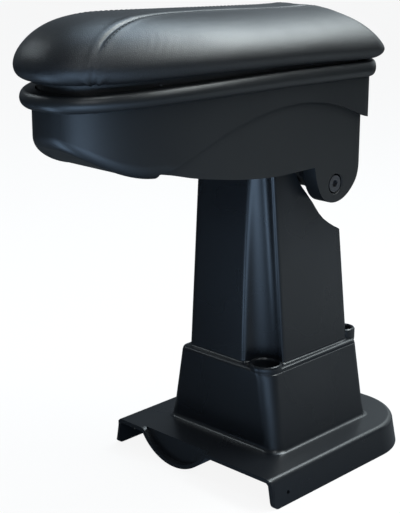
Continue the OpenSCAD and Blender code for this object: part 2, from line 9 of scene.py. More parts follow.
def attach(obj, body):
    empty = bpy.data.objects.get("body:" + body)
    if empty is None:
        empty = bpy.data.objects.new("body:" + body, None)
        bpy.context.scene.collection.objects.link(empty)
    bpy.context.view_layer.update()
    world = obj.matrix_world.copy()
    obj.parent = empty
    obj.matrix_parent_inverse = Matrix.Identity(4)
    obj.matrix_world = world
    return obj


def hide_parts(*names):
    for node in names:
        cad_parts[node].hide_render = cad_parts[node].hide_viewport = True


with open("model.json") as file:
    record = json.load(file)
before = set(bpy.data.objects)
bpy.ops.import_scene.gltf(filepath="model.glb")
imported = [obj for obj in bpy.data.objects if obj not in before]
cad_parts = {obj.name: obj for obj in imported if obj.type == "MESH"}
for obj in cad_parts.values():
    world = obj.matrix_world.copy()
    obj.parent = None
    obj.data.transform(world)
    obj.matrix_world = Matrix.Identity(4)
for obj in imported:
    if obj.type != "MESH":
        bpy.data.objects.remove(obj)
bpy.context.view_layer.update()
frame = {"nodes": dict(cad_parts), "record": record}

# The camera stands ahead of the arm's free end and to its left, a little above the lid, as in the photograph.
# Every length below is in millimetres about the column's middle, and mm() moves it into the frame.
FRAME_X = 62.65
CAMERA_AT = (677.44, 584.32, 410.78)
CAMERA_TURN = (133.98, 16.59, 0.08)


def mm(x, y, z):
    return ((x - FRAME_X) / 1000, y / 1000, z / 1000)


camera_data = bpy.data.cameras.new("camera")
camera_data.sensor_fit = "VERTICAL"
camera_data.sensor_height = 36
camera_data.lens = 90.42
camera_data.clip_end = 20
camera = bpy.data.objects.new("camera", camera_data)
bpy.context.scene.collection.objects.link(camera)
azimuth, elevation, roll = (math.radians(angle) for angle in CAMERA_TURN)
level_part = math.cos(elevation)
forward = Vector((-math.sin(azimuth) * level_part, math.cos(azimuth) * level_part, -math.sin(elevation)))
right = forward.cross(Vector((0, 0, 1))).normalized()
up = right.cross(forward)
across = right * math.cos(roll) + up * math.sin(roll)
upward = up * math.cos(roll) - right * math.sin(roll)
rotation = Matrix((across, upward, -forward)).transposed().to_4x4()
camera.matrix_world = Matrix.Translation(mm(*CAMERA_AT)) @ rotation
bpy.context.scene.camera = camera
bpy.context.scene.view_settings.view_transform = "Standard"


# Soft studio light: a broad key on the near side, a tall strip and a box for the pad's near shoulder, a cool
# box overhead, and two small boxes that pick out the foot's front edge and the rims of the screw wells.
def area_light(name, place, target, width, height, watts, colour):
    data = bpy.data.lights.new(name, "AREA")
    data.shape, data.size, data.size_y = "RECTANGLE", width, height
    data.energy, data.color = watts, colour
    lamp = bpy.data.objects.new(name, data)
    bpy.context.scene.collection.objects.link(lamp)
    lamp.location = place
    lamp.rotation_euler = (Vector(target) - Vector(place)).to_track_quat("-Z", "Y").to_euler()


area_light("key_light", (0.9, 1.1, 0.95), (0, 0, 0.15), 0.7, 0.5, 3.5, (0.9, 0.95, 1))
area_light("shoulder_light", (-0.557, 0.26, 0.97), (0.02, 0.05, 0.31), 0.75, 0.34, 9.0, (0.93, 1, 1))
area_light("side_box", (-0.31, 0.617, 0.71), (0.087, 0.05, 0.31), 0.4, 0.4, 2.0, (0.93, 1, 1))
area_light("top_light", (-0.5, -0.1, 1.5), (0, 0, 0.2), 1.0, 1.0, 12.0, (0.6, 0.8, 1))
area_light("front_edge_light", (0.35, -0.8, 0.85), (0, 0, 0.05), 0.3, 0.3, 1.3, (0.85, 0.95, 1))
area_light("rim_light", (0.25, 0.5, 1.3), (0, 0, 0.08), 0.25, 0.25, 2.2, (0.9, 0.97, 1))


class Nodes:
    """Short hand for one node tree."""

    def __init__(self, tree):
        self.tree = tree

    def add(self, kind, inputs=None, **props):
        node = self.tree.nodes.new(kind)
        for key, value in props.items():
            setattr(node, key, value)
        for key, value in (inputs or {}).items():
            if isinstance(value, bpy.types.NodeSocket):
                self.tree.links.new(value, node.inputs[key])
            else:
                node.inputs[key].default_value = value
        return node

    def link(self, a, b):
        self.tree.links.new(a, b)


world = bpy.data.worlds.new("studio")
bpy.context.scene.world = world
world.use_nodes = True
world.node_tree.nodes.clear()
w = Nodes(world.node_tree)
rays = w.add("ShaderNodeLightPath")
seen = w.add("ShaderNodeMath", {0: rays.outputs["Is Camera Ray"], 1: rays.outputs["Is Transmission Ray"]},
             operation="MAXIMUM")
way = w.add("ShaderNodeTexCoord").outputs["Generated"]
# A pale card stands behind the object, brightest well above the floor, so that the pad's top mirrors it. The
# rest of the room is dim.
level = w.add("ShaderNodeVectorMath", {0: way, 1: (1.0, 1.0, 0.0)}, operation="MULTIPLY")
turn = w.add("ShaderNodeVectorMath", {0: level.outputs[0]}, operation="NORMALIZE")
CARD_WAY = (-0.996, -0.087, 0.0)
behind = w.add("ShaderNodeVectorMath", {0: turn.outputs[0], 1: CARD_WAY}, operation="DOT_PRODUCT")
sides = w.add("ShaderNodeMapRange", {"Value": behind.outputs["Value"], "From Min": 0.8, "From Max": 0.98},
              interpolation_type="SMOOTHSTEP")
height = w.add("ShaderNodeSeparateXYZ", {0: way}).outputs["Z"]
rise = w.add("ShaderNodeMapRange", {"Value": height, "From Min": 0.34, "From Max": 0.574,
                                    "To Min": 0.25, "To Max": 1.0}, interpolation_type="SMOOTHSTEP")
fade = w.add("ShaderNodeMapRange", {"Value": height, "From Min": 0.77, "From Max": 0.94,
                                    "To Min": 1.0, "To Max": 0.0}, interpolation_type="SMOOTHSTEP")
above = w.add("ShaderNodeMath", {0: rise.outputs[0], 1: fade.outputs[0]}, operation="MULTIPLY")
card = w.add("ShaderNodeMath", {0: sides.outputs[0], 1: above.outputs[0]}, operation="MULTIPLY")
DIM_ROOM, PALE_CARD = (0.12, 0.14, 0.16, 1), (1.95, 2.2, 2.26, 1)
room = w.add("ShaderNodeMix", {"Factor": card.outputs[0], "A": DIM_ROOM, "B": PALE_CARD}, data_type="RGBA")
sky = w.add("ShaderNodeMix", {"Factor": seen.outputs[0], "A": room.outputs["Result"], "B": (1, 1, 1, 1)},
            data_type="RGBA")
out = w.add("ShaderNodeBackground", {"Color": sky.outputs["Result"], "Strength": 1.0})
w.link(out.outputs[0], w.add("ShaderNodeOutputWorld").inputs[0])


def material(name):
    made = bpy.data.materials.new(name)
    made.use_nodes = True
    made.node_tree.nodes.clear()
    return made, Nodes(made.node_tree)


def mesh_piece(name, verts, faces, look, smooth=True):
    mesh = bpy.data.meshes.new(name)
    mesh.from_pydata([tuple(v) for v in verts], [], [tuple(int(i) for i in f) for f in faces])
    mesh.validate()
    mesh.polygons.foreach_set("use_smooth", [smooth] * len(mesh.polygons))
    mesh.materials.append(look)
    piece = bpy.data.objects.new(name, mesh)
    bpy.context.scene.collection.objects.link(piece)
    return piece


# The floor is white paper to the camera, and keeps the shadow. To everything else it shows painted light: a
# painted pool in its colour and cool painted glows, though it is no lamp, because the black plastics take
# nearly all their tone from the floor that they mirror.
floor_look, f = material("floor_paper")
path = f.add("ShaderNodeLightPath")
spot = f.add("ShaderNodeTexCoord").outputs["Object"]


def patch(x, y, spread):
    """A soft round patch on the floor, 1 in its middle."""
    away = f.add("ShaderNodeVectorMath", {0: spot, 1: (x, y, 0)}, operation="DISTANCE")
    part = f.add("ShaderNodeMath", {0: away.outputs["Value"], 1: spread}, operation="DIVIDE")
    square = f.add("ShaderNodeMath", {0: part.outputs[0], 1: part.outputs[0]}, operation="MULTIPLY")
    return f.add("ShaderNodeMath", {0: 0.6065, 1: square.outputs[0]}, operation="POWER").outputs[0]


# One painted pool of light beside the column, painted into the floor's colour, for the near faces.
painted_light_pool = f.add("ShaderNodeMapRange", {"Value": patch(-0.47, 0.52, 0.27), "To Min": 0.06, "To Max": 0.42})
bounced = f.add("ShaderNodeBsdfDiffuse", {"Color": painted_light_pool.outputs[0]})
painted_glow = f.add("ShaderNodeEmission", {"Color": (0.48, 0.7, 1.0, 1), "Strength": 1.0})
# Two cool painted glows ahead of it, emission from a floor that is no lamp: a near one for the groove, and a
# broad far one for the tub's and the pad's nose.
near = f.add("ShaderNodeMath", {0: patch(0.34, 0.33, 0.18), 1: 0.7}, operation="MULTIPLY")
round_glow = f.add("ShaderNodeMath", {0: patch(0.76, 0.56, 0.31), 1: 6.0, 2: near.outputs[0]},
                   operation="MULTIPLY_ADD")
# A strip of painted glow runs out from the column's near corner, so its groove and arris mirror it as a
# narrow painted highlight.
from_corner = f.add("ShaderNodeVectorMath", {0: spot, 1: (-0.02, 0.03, 0.0)}, operation="SUBTRACT")
apart = f.add("ShaderNodeSeparateXYZ", {0: from_corner.outputs[0]})
heading = f.add("ShaderNodeMath", {0: apart.outputs["Y"], 1: apart.outputs["X"]}, operation="ARCTAN2")
off_line = f.add("ShaderNodeMath", {0: heading.outputs[0], 1: math.radians(23)}, operation="ADD")
off_line = f.add("ShaderNodeMath", {0: off_line.outputs[0], 1: math.radians(8)}, operation="DIVIDE")
off_line = f.add("ShaderNodeMath", {0: off_line.outputs[0], 1: off_line.outputs[0]}, operation="MULTIPLY")
strip = f.add("ShaderNodeMath", {0: 0.3679, 1: off_line.outputs[0]}, operation="POWER")
away = f.add("ShaderNodeVectorMath", {0: spot}, operation="LENGTH")
reach = f.add("ShaderNodeMapRange", {"Value": away.outputs["Value"], "From Min": 0.22, "From Max": 0.34,
                                     "To Max": 5.5}, interpolation_type="SMOOTHSTEP")
ended = f.add("ShaderNodeMapRange", {"Value": away.outputs["Value"], "From Min": 0.6, "From Max": 0.8,
                                     "To Min": 1.0, "To Max": 0.0}, interpolation_type="SMOOTHSTEP")
strip = f.add("ShaderNodeMath", {0: strip.outputs[0], 1: ended.outputs[0]}, operation="MULTIPLY")
strength = f.add("ShaderNodeMath", {0: strip.outputs[0], 1: reach.outputs[0], 2: round_glow.outputs[0]},
                 operation="MULTIPLY_ADD")
f.link(strength.outputs[0], painted_glow.inputs["Strength"])
unseen = f.add("ShaderNodeAddShader", {0: bounced.outputs[0], 1: painted_glow.outputs[0]})
matt = f.add("ShaderNodeBsdfDiffuse", {"Color": (0.85, 0.85, 0.85, 1)})
glow = f.add("ShaderNodeEmission", {"Color": (1, 1, 1, 1), "Strength": 1.0})
visible = f.add("ShaderNodeMixShader", {0: 0.9, 1: matt.outputs[0], 2: glow.outputs[0]})
both = f.add("ShaderNodeMixShader", {0: path.outputs["Is Camera Ray"], 1: unseen.outputs[0],
                                     2: visible.outputs[0]})
f.link(both.outputs[0], f.add("ShaderNodeOutputMaterial").inputs[0])
floor_corners = [(-6, -6, 0), (6, -6, 0), (6, 6, 0), (-6, 6, 0)]
floor = mesh_piece("floor", floor_corners, [(0, 1, 2, 3)], floor_look, False)


# The pedestal is one hollow black moulding: a flanged foot, a plinth with two screw wells, a tapered column.
# Like all the plastics it has the tool's even grain, faint cloudiness and specks of dust, and its sharp edges
# are painted a little paler as a painted highlight. That skin is one group, which each material places with
# its own values.
def new_group(name, sockets):
    made = bpy.data.node_groups.new(name, "ShaderNodeTree")
    for label, kind, way, value in sockets:
        socket = made.interface.new_socket(name=label, in_out=way, socket_type="NodeSocket" + kind)
        if value is not None:
            socket.default_value = value
    return made, Nodes(made)


skin, n = new_group("moulded_skin", (
    ("Colour", "Color", "INPUT", (0.01, 0.01, 0.01, 1)), ("Roughness", "Float", "INPUT", 0.4),
    ("Grain Scale", "Float", "INPUT", 900.0), ("Painted Edge Highlight", "Float", "INPUT", 0.06),
    ("Colour", "Color", "OUTPUT", None), ("Roughness", "Float", "OUTPUT", None),
    ("Height", "Float", "OUTPUT", None)))
given = n.add("NodeGroupInput")
place = n.add("ShaderNodeTexCoord").outputs["Object"]
fine = n.add("ShaderNodeTexNoise", {"Vector": place, "Scale": given.outputs["Grain Scale"], "Detail": 3.0,
                                    "Roughness": 0.6})
broad = n.add("ShaderNodeTexNoise", {"Vector": place, "Scale": 14.0, "Detail": 2.0})
dust = n.add("ShaderNodeTexNoise", {"Vector": place, "Scale": 420.0, "Detail": 2.0})
cloudy = n.add("ShaderNodeMapRange", {"Value": broad.outputs["Fac"], "From Min": 0.3, "From Max": 0.7,
                                      "To Min": -0.03, "To Max": 0.04})
ways = n.add("ShaderNodeMath", {0: given.outputs["Roughness"], 1: cloudy.outputs[0]}, operation="ADD")
# Sharp edges are painted paler by their pointiness, a painted highlight; the dust specks are added to it.
point = n.add("ShaderNodeNewGeometry").outputs["Pointiness"]
painted_edge_highlight = n.add("ShaderNodeMapRange", {"Value": point, "From Min": 0.52, "From Max": 0.62,
                                    "To Max": given.outputs["Painted Edge Highlight"]})
specks = n.add("ShaderNodeMapRange", {"Value": dust.outputs["Fac"], "From Min": 0.62, "From Max": 0.8,
                                      "To Min": 0.0, "To Max": 0.02})
dust_and_edge_highlight = n.add("ShaderNodeMath", {0: painted_edge_highlight.outputs[0], 1: specks.outputs[0]}, operation="ADD")
lifted = n.add("ShaderNodeVectorMath", {0: given.outputs["Colour"], 1: (3.0, 3.0, 3.0),
                                        2: (0.03, 0.03, 0.03)}, operation="MULTIPLY_ADD")
lighter = n.add("ShaderNodeVectorMath", {0: lifted.outputs[0], 1: (1.0, 1.0, 1.0)}, operation="MINIMUM")
tint = n.add("ShaderNodeMix", {"Factor": dust_and_edge_highlight.outputs[0], "A": given.outputs["Colour"],
                               "B": lighter.outputs[0]}, data_type="RGBA")
result = n.add("NodeGroupOutput")
n.link(tint.outputs["Result"], result.inputs["Colour"])
n.link(ways.outputs[0], result.inputs["Roughness"])
n.link(fine.outputs["Fac"], result.inputs["Height"])


def plastic(name, colour, rough, grain, scale):
    made, n = material(name)
    surface = n.add("ShaderNodeGroup", node_tree=skin)
    for label, value in (("Colour", (*colour, 1)), ("Roughness", rough), ("Grain Scale", scale)):
        surface.inputs[label].default_value = value
    bump = n.add("ShaderNodeBump", {"Height": surface.outputs["Height"], "Strength": grain,
                                    "Distance": 0.0002})
    shader = n.add("ShaderNodeBsdfPrincipled", {
        "Base Color": surface.outputs["Colour"], "Roughness": surface.outputs["Roughness"],
        "Normal": bump.outputs[0], "IOR": 1.5})
    n.link(shader.outputs[0], n.add("ShaderNodeOutputMaterial").inputs[0])
    return made


pedestal_plastic = plastic("pedestal_plastic", (0.005, 0.006, 0.008), 0.28, 0.10, 900.0)

# Its shape is swept from the flanges up to the column's deck through level outlines, so every foot, shelf and
# edge has the small rounding that a mould gives.
TURNS = 720
angles = np.linspace(-math.pi, math.pi, TURNS, endpoint=False)


def star(outline, centre=(-2.0, 0.0)):
    """The outline's points at even angles round a centre."""
    loop = np.concatenate([outline, outline[:1]])
    fine = np.concatenate([np.linspace(a, b, max(2, int(np.linalg.norm(b - a) / 0.25)), endpoint=False)
                           for a, b in zip(loop[:-1], loop[1:])])
    turn = np.arctan2(fine[:, 1] - centre[1], fine[:, 0] - centre[0])
    order = np.argsort(turn)
    turn, fine = turn[order], fine[order]
    turn = np.concatenate([turn[-4:] - 2 * math.pi, turn, turn[:4] + 2 * math.pi])
    fine = np.concatenate([fine[-4:], fine, fine[:4]])
    return np.stack([np.interp(angles, turn, fine[:, k]) for k in range(2)], 1)


def arc(cx, cy, r, a0, a1, steps=14):
    t = np.radians(np.linspace(a0, a1, steps))
    return np.stack([cx + r * np.cos(t), cy + r * np.sin(t)], 1)


def box_outline(x0, x1, hw, r, near_front=None):
    n = near_front or r
    return np.concatenate([arc(x1 - n, hw - n, n, 0, 90), arc(x0 + r, hw - r, r, 90, 180),
                           arc(x0 + r, -hw + r, r, 180, 270), arc(x1 - r, -hw + r, r, 270, 360)])


def foot_outline(d, front=81.5):
    b, r, rear = 75 + d, 44 + d, -85 - d
    return np.concatenate([[(front, -b), (front, b)], arc(rear + r, b - r, r, 90, 180, 40),
                           arc(rear + r, -b + r, r, 180, 270, 40)])


def column_outline(z, d=0.0):
    t = (z - 79) / 150
    ring = star(box_outline(-47.6 + 16.2 * t + d, 44.5 - 4.3 * t - d, 38 - 4.3 * t - d, max(3.5 - d, 1)))
    g = (z - 77) / 157
    centre, radius = np.array([43.3 + 7.7 * g, 34.2 - 7.0 * g]), 16.6 - 2.6 * g + d
    ray = np.stack([np.cos(angles), np.sin(angles)], 1)
    away = centre - (-2.0, 0.0)
    along = ray @ away
    room = radius ** 2 - (away @ away - along ** 2)
    enter = np.where((room > 0) & (along > 0), along - np.sqrt(np.maximum(room, 0)), 1e9)
    length = np.minimum(np.linalg.norm(ring - (-2.0, 0.0), axis=1), enter)
    for _ in range(24):
        length = (np.roll(length, 1) + 2 * length + np.roll(length, -1)) / 4
    return np.array([-2.0, 0.0]) + ray * length[:, None]


def swept(name, rings, look):
    """A closed skin over (height, outline) rings, lowest first."""
    m, count = len(rings), len(rings[0][1])
    verts = [mm(x, y, z) for z, ring in rings for x, y in ring]
    index = np.arange(m * count).reshape(m, count)
    faces = []
    for i in range(m - 1):
        a, b = index[i], index[i + 1]
        faces += list(np.stack([a, np.roll(a, -1), np.roll(b, -1), b], 1))
    faces += [index[0][::-1], index[-1]]
    return mesh_piece(name, verts, faces, look)


def extruded(name, profile, low, high, axis, look):
    """A prism over a closed profile: axis 0 takes (y, z) points along X, axis 1 (x, z) points along Y."""
    put = (lambda u, v, w: mm(w, u, v)) if axis == 0 else (lambda u, v, w: mm(u, w, v))
    count = len(profile)
    verts = [put(u, v, w) for w in (low, high) for u, v in profile]
    faces = [list(range(count)), list(range(2 * count - 1, count - 1, -1))]
    faces += [(i, i + count, (i + 1) % count + count, (i + 1) % count) for i in range(count)]
    piece = mesh_piece(name, verts, faces, look)
    tidy = bmesh.new()
    tidy.from_mesh(piece.data)
    bmesh.ops.recalc_face_normals(tidy, faces=tidy.faces)
    tidy.to_mesh(piece.data)
    tidy.free()
    return piece


def turned(name, profile, place, axis, look, steps=72):
    """A closed solid of revolution over (radius, height) points, standing at place along an axis."""
    verts, faces = [], []
    for k in range(steps):
        c, t = math.cos(2 * math.pi * k / steps), math.sin(2 * math.pi * k / steps)
        for r, h in profile:
            offset = {"z": (r * c, r * t, h), "y": (r * t, h, r * c), "x": (h, r * c, r * t)}[axis]
            verts.append(mm(*(place[i] + offset[i] for i in range(3))))
    count = len(profile)
    for k in range(steps):
        a, b = k * count, (k + 1) % steps * count
        faces += [(a + i, b + i, b + (i + 1) % count, a + (i + 1) % count) for i in range(count)]
    piece = mesh_piece(name, verts, faces, look)
    tidy = bmesh.new()
    tidy.from_mesh(piece.data)
    bmesh.ops.remove_doubles(tidy, verts=tidy.verts, dist=1e-7)
    bmesh.ops.recalc_face_normals(tidy, faces=tidy.faces)
    tidy.to_mesh(piece.data)
    tidy.free()
    return piece


def rod(name, r, place, length, axis):
    return turned(name, [(0, 0), (r, 0), (r, length), (0, length)], place, axis, pedestal_plastic, 48)


def carve(piece, tool, how="DIFFERENCE"):
    """Cut a solid out of a piece, or join one to it, and throw the tool away."""
    cut = piece.modifiers.new("cut", "BOOLEAN")
    cut.object, cut.operation, cut.solver = tool, how, "EXACT"
    done = bpy.data.meshes.new_from_object(piece.evaluated_get(bpy.context.evaluated_depsgraph_get()))
    piece.modifiers.clear()
    old = piece.data
    piece.data = done
    bpy.data.meshes.remove(old)
    bpy.data.meshes.remove(tool.data)


def settle(piece, degrees):
    """Smooth shading with creases only where faces really meet at an edge."""
    piece.data.polygons.foreach_set("use_smooth", [True] * len(piece.data.polygons))
    piece.data.set_sharp_from_angle(angle=math.radians(degrees))
    even_out = piece.modifiers.new("even normals", "WEIGHTED_NORMAL")
    even_out.keep_sharp = True
    done = bpy.data.meshes.new_from_object(piece.evaluated_get(bpy.context.evaluated_depsgraph_get()))
    piece.modifiers.clear()
    old = piece.data
    piece.data = done
    bpy.data.meshes.remove(old)


def soften(piece, width):
    """Merge level faces, roll every real edge a little, and settle the shading."""
    joined = bmesh.new()
    joined.from_mesh(piece.data)
    bmesh.ops.dissolve_limit(joined, angle_limit=math.radians(0.4), verts=joined.verts, edges=joined.edges)
    joined.to_mesh(piece.data)
    joined.free()
    rolled = piece.modifiers.new("edge", "BEVEL")
    rolled.width, rolled.segments = width, 2
    rolled.limit_method, rolled.angle_limit = "ANGLE", math.radians(48)
    done = bpy.data.meshes.new_from_object(piece.evaluated_get(bpy.context.evaluated_depsgraph_get()))
    piece.modifiers.clear()
    old = piece.data
    piece.data = done
    bpy.data.meshes.remove(old)
    settle(piece, 40)


def plinth(z, d=0.0):
    t = (z - 21) / 58.2
    return star(box_outline(-54.5 + 1.3 * t + d, 49.6 - 0.3 * t - d, 52 - 9.7 * t - d, max(6 - d, 1),
                            max(9.5 + 2.3 * t - d, 1)))


rings = [(0.0, star(foot_outline(3.8))), (17.0, star(foot_outline(0.75)))]
rings += [(17 + 4 * math.sin(t), star(foot_outline(0.75 - 4 * (1 - math.cos(t)))))
          for t in np.radians([15, 30, 45, 60, 75, 90])]
rings += [(21 + 3.5 * (1 - math.cos(t)), plinth(21, -3.5 * (1 - math.sin(t))))
          for t in np.radians([0, 18, 36, 54, 72, 90])]
rings += [(z, plinth(z)) for z in (30, 45, 60, 72, 76)]
rings += [(76.2 + 3 * math.sin(t), plinth(77.5, 3 * (1 - math.cos(t))))
          for t in np.radians([0, 22, 45, 67, 90])]
rings += [(79.2 + 1.6 * (1 - math.cos(t)), column_outline(80, -1.6 * (1 - math.sin(t))))
          for t in np.radians([0, 30, 60, 90])]
rings += [(z, column_outline(z)) for z in np.linspace(82, 227.5, 30)]
rings += [(227.5 + 1.5 * math.sin(t), column_outline(228, 1.5 * (1 - math.cos(t))))
          for t in np.radians([30, 60, 90])]
pedestal = swept("pedestal_moulding", rings, pedestal_plastic)

# Inside it is open from below: the foot's hollow, then the plinth's, then the column's.
rings = [(-1.0, star(foot_outline(0.9, 90))), (16.6, star(foot_outline(-2.2, 90))),
         (18.0, star(foot_outline(-3.9, 90)))]
rings += [(18.02, plinth(21, 3)), (74.0, plinth(76, 3)), (76.2, plinth(76, 5))]
rings += [(76.25, column_outline(79, 3)), (150, column_outline(150, 3)), (224, column_outline(224, 3))]
hollow = swept("hollow", rings, pedestal_plastic)
# The rear of the column's top is scalloped, so the arm has room to swing.
swing = [(16, 245), (16, 232), (15.4, 224), (14, 216), (10.9, 209.2), (6.6, 203.4), (1.8, 198.2),
         (-1.8, 194), (-5.1, 190.3), (-8.5, 185.8), (-12.1, 181.3), (-17, 176.6), (-23, 172.4), (-29, 168.8),
         (-34.1, 166.3), (-36.6, 164.8), (-38.1, 162.5), (-60, 162), (-60, 245)]
carve(hollow, extruded("inner swing", [(x + 2.2, z - 2.2) for x, z in swing], -60, 60, 1, pedestal_plastic))
carve(pedestal, hollow)
carve(pedestal, extruded("swing", swing, -60, 60, 1, pedestal_plastic))

# The round trough in the front edge, with rolled shoulders, its end wall a few millimetres behind the lip.
TROUGH_Y, TROUGH_Z = -17.5, 38.5


def trough(radius, shoulder, top):
    left = arc(TROUGH_Y - 33.6, 15, shoulder, 90, 35, 10)
    bowl = arc(TROUGH_Y, TROUGH_Z, radius, 215, 325, 60)
    right_side = arc(TROUGH_Y + 33.6, 15, shoulder, 145, 90, 10)
    return np.concatenate([[(TROUGH_Y - 33.6, top)], left, bowl, right_side, [(TROUGH_Y + 33.6, top)]])


body = extruded("trough body", trough(38, 3, 20.0), 39.5, 81.5, 0, pedestal_plastic)
room_below = np.array([(y, min(z, 18.0)) for y, z in arc(TROUGH_Y, TROUGH_Z, 35, 216, 324, 50)])
carve(body, extruded("trough room", room_below, 30, 74.5, 0, pedestal_plastic))
carve(pedestal, body, "UNION")
carve(pedestal, extruded("mouth", trough(35, 6, 30.0), 77.5, 90, 0, pedestal_plastic))

# Two raised screw wells on the near side, drilled for the console's screws.
FRONT_WELL_X, REAR_WELL_X, WELL_Y, SHELF_Z = 37.5, -50.5, 30.8, 79.2
rim = [(0, -20), (6, -20), (11.4, -4), (11.8, -1), (11.8, 1.0), (11.3, 2.1), (10.4, 2.5), (9.6, 2.2),
       (9.0, 1.2), (9.0, -6), (0, -6)]
carve(pedestal, turned("front well", rim, (FRONT_WELL_X, WELL_Y, SHELF_Z), "z", pedestal_plastic), "UNION")
carve(pedestal, rod("front well room", 8.9, (FRONT_WELL_X, WELL_Y, 75), 20, "z"))
rim = [(0, -20), (2.5, -20), (8.1, -4), (8.5, -1), (8.5, 5.4), (8.0, 6.3), (7.2, 6.7), (6.3, 6.4), (5.6, 5.4),
       (5.6, -6), (0, -6)]
carve(pedestal, turned("rear well", rim, (REAR_WELL_X, WELL_Y, SHELF_Z), "z", pedestal_plastic), "UNION")
carve(pedestal, rod("rear well room", 4.5, (REAR_WELL_X, WELL_Y, 75), 20, "z"))
for x in (FRONT_WELL_X, REAR_WELL_X):
    carve(pedestal, rod("screw hole", 2.75, (x, WELL_Y, 40), 60, "z"))
# Each flange has a small hole and a rounded front corner.
for y in (-90, 60):
    carve(pedestal, rod("side hole", 1.4, (65.5, y, 8), 30, "y"))
    corner = np.concatenate([[(76.5, -2), (84, -2), (84, 5)], arc(76.5, 5, 5, 0, -90, 16)])
    carve(pedestal, extruded("flange corner", corner, y, y + 30, 1, pedestal_plastic))
soften(pedestal, 0.0006)
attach(pedestal, "pedestal")
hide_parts("pedestal")


# The fittings are bought parts: a folded steel bracket screwed to the column's deck, the pivot bolt with its
# nut, washers, sleeve and bushes, and rubber stops. The steel is drawn, which leaves fine lines one way.
drawn, n = new_group("drawn_lines", (
    ("Roughness", "Float", "INPUT", 0.3), ("Roughness", "Float", "OUTPUT", None),
    ("Height", "Float", "OUTPUT", None)))
given = n.add("NodeGroupInput")
place = n.add("ShaderNodeTexCoord").outputs["Object"]
stretched = n.add("ShaderNodeMapping", {"Vector": place, "Scale": (300.0, 3000.0, 300.0)})
lines = n.add("ShaderNodeTexNoise", {"Vector": stretched.outputs[0], "Scale": 1.0, "Detail": 2.0})
varied = n.add("ShaderNodeMapRange", {"Value": lines.outputs["Fac"], "To Min": -0.08, "To Max": 0.12})
ways = n.add("ShaderNodeMath", {0: given.outputs["Roughness"], 1: varied.outputs[0]}, operation="ADD")
result = n.add("NodeGroupOutput")
n.link(ways.outputs[0], result.inputs["Roughness"])
n.link(lines.outputs["Fac"], result.inputs["Height"])


def metal(name, colour, rough):
    made, n = material(name)
    surface = n.add("ShaderNodeGroup", node_tree=drawn)
    surface.inputs["Roughness"].default_value = rough
    bump = n.add("ShaderNodeBump", {"Height": surface.outputs["Height"], "Strength": 0.1, "Distance": 0.0001})
    shader = n.add("ShaderNodeBsdfPrincipled", {
        "Base Color": (*colour, 1), "Metallic": 1.0, "Roughness": surface.outputs["Roughness"],
        "Normal": bump.outputs[0]})
    n.link(shader.outputs[0], n.add("ShaderNodeOutputMaterial").inputs[0])
    return made


node_slots = {part["node"]: part["material_slot"] for part in frame["record"]["subparts"]}


def dress(looks):
    """Give the solids of these material slots their finish."""
    for node, piece in frame["nodes"].items():
        if node_slots[node] in looks:
            piece.data.materials.clear()
            piece.data.materials.append(looks[node_slots[node]])


dress({
    "gloss_black": pedestal_plastic,
    "steel": metal("plain_steel", (0.45, 0.46, 0.48), 0.35),
    "zinc": metal("zinc_plate", (0.6, 0.61, 0.63), 0.3),
    "black_steel": plastic("blackened_steel", (0.03, 0.03, 0.033), 0.38, 0.1, 900.0),
    "acetal": plastic("bearing_plastic", (0.75, 0.72, 0.62), 0.35, 0.05, 900.0),
    "rubber": plastic("rubber", (0.012, 0.012, 0.012), 0.7, 0.3, 900.0),
})


# The tub is the storage box, one grained black moulding with a felt mat over its screws. Its plan is a
# rounded-off oblong whose nose is a full ellipse, and the lid's cover follows it all round.
tub_plastic = plastic("tub_plastic", (0.007, 0.0075, 0.008), 0.38, 0.2, 1500.0)
dress({"tub_black": tub_plastic, "mat_felt": plastic("felt", (0.014, 0.014, 0.015), 0.95, 1.0, 2500.0)})
NOSE_X, REAR_X, HALF_W, NOSE_START, FULLNESS, REAR_R = 203.5, 55.0, 50.0, 44.0, 2.5, 15.0
RIM_Z, COVER_Z = 290.5, 291.4


def plan(out, steps_nose, steps_side, steps_corner, steps_rear):
    """Counter-clockwise outline, out millimetres beyond the tub's skin, from the nose's tip round."""
    a, b = NOSE_X - NOSE_START + out, HALF_W + out
    r = max(REAR_R + out, 1.0)
    rear = -REAR_X - out
    t = np.linspace(0, math.pi / 2, steps_nose, endpoint=False)
    nose = np.stack([NOSE_START + a * np.cos(t) ** (2 / FULLNESS), b * np.sin(t) ** (2 / FULLNESS)], 1)
    along = np.linspace(NOSE_START, rear + r, steps_side, endpoint=False)
    side = np.stack([along, np.full(steps_side, b)], 1)
    t = np.linspace(0, math.pi / 2, steps_corner, endpoint=False)
    corner = np.stack([rear + r - r * np.sin(t), b - r + r * np.cos(t)], 1)
    back = np.stack([np.full(steps_rear, rear), np.linspace(b - r, 0, steps_rear, endpoint=False)], 1)
    half = np.concatenate([nose, side, corner, back])
    far = half[::-1] * (1, -1)
    return np.concatenate([half, [[rear, 0]], far[:-1]])


def even(points, count):
    """The same closed outline with evenly spaced points."""
    loop = np.concatenate([points, points[:1]])
    run = np.concatenate([[0], np.cumsum(np.linalg.norm(np.diff(loop, axis=0), axis=1))])
    at = np.linspace(0, run[-1], count, endpoint=False)
    return np.stack([np.interp(at, run, loop[:, k]) for k in range(2)], 1)


# The rim and the cover's lower edge sag a little toward the rear and the nose, as on the real arm.
LEVEL_X = [-66, -40, 0, 50, 100, 150, 185, 214]
LEVEL_DZ = [-4.0, -3.6, -2.2, -1.0, -0.5, -0.8, -2.0, -3.6]


def soft(values, rounds, closed=False):
    """A smoothed copy of a run of values, ends kept."""
    values = np.array(values, float)
    for _ in range(rounds):
        inner = (np.roll(values, 1, 0) + 2 * values + np.roll(values, -1, 0)) / 4
        if not closed:
            inner[0], inner[-1] = values[0], values[-1]
        values = inner
    return values


LEVEL_RUN = np.linspace(-66, 214, 281)
LEVEL = soft(np.interp(LEVEL_RUN, LEVEL_X, LEVEL_DZ), 300)


def settled(x):
    """How far the rim and the cover's edge lie off their straight line, as on the real arm."""
    return np.interp(x, LEVEL_RUN, LEVEL)


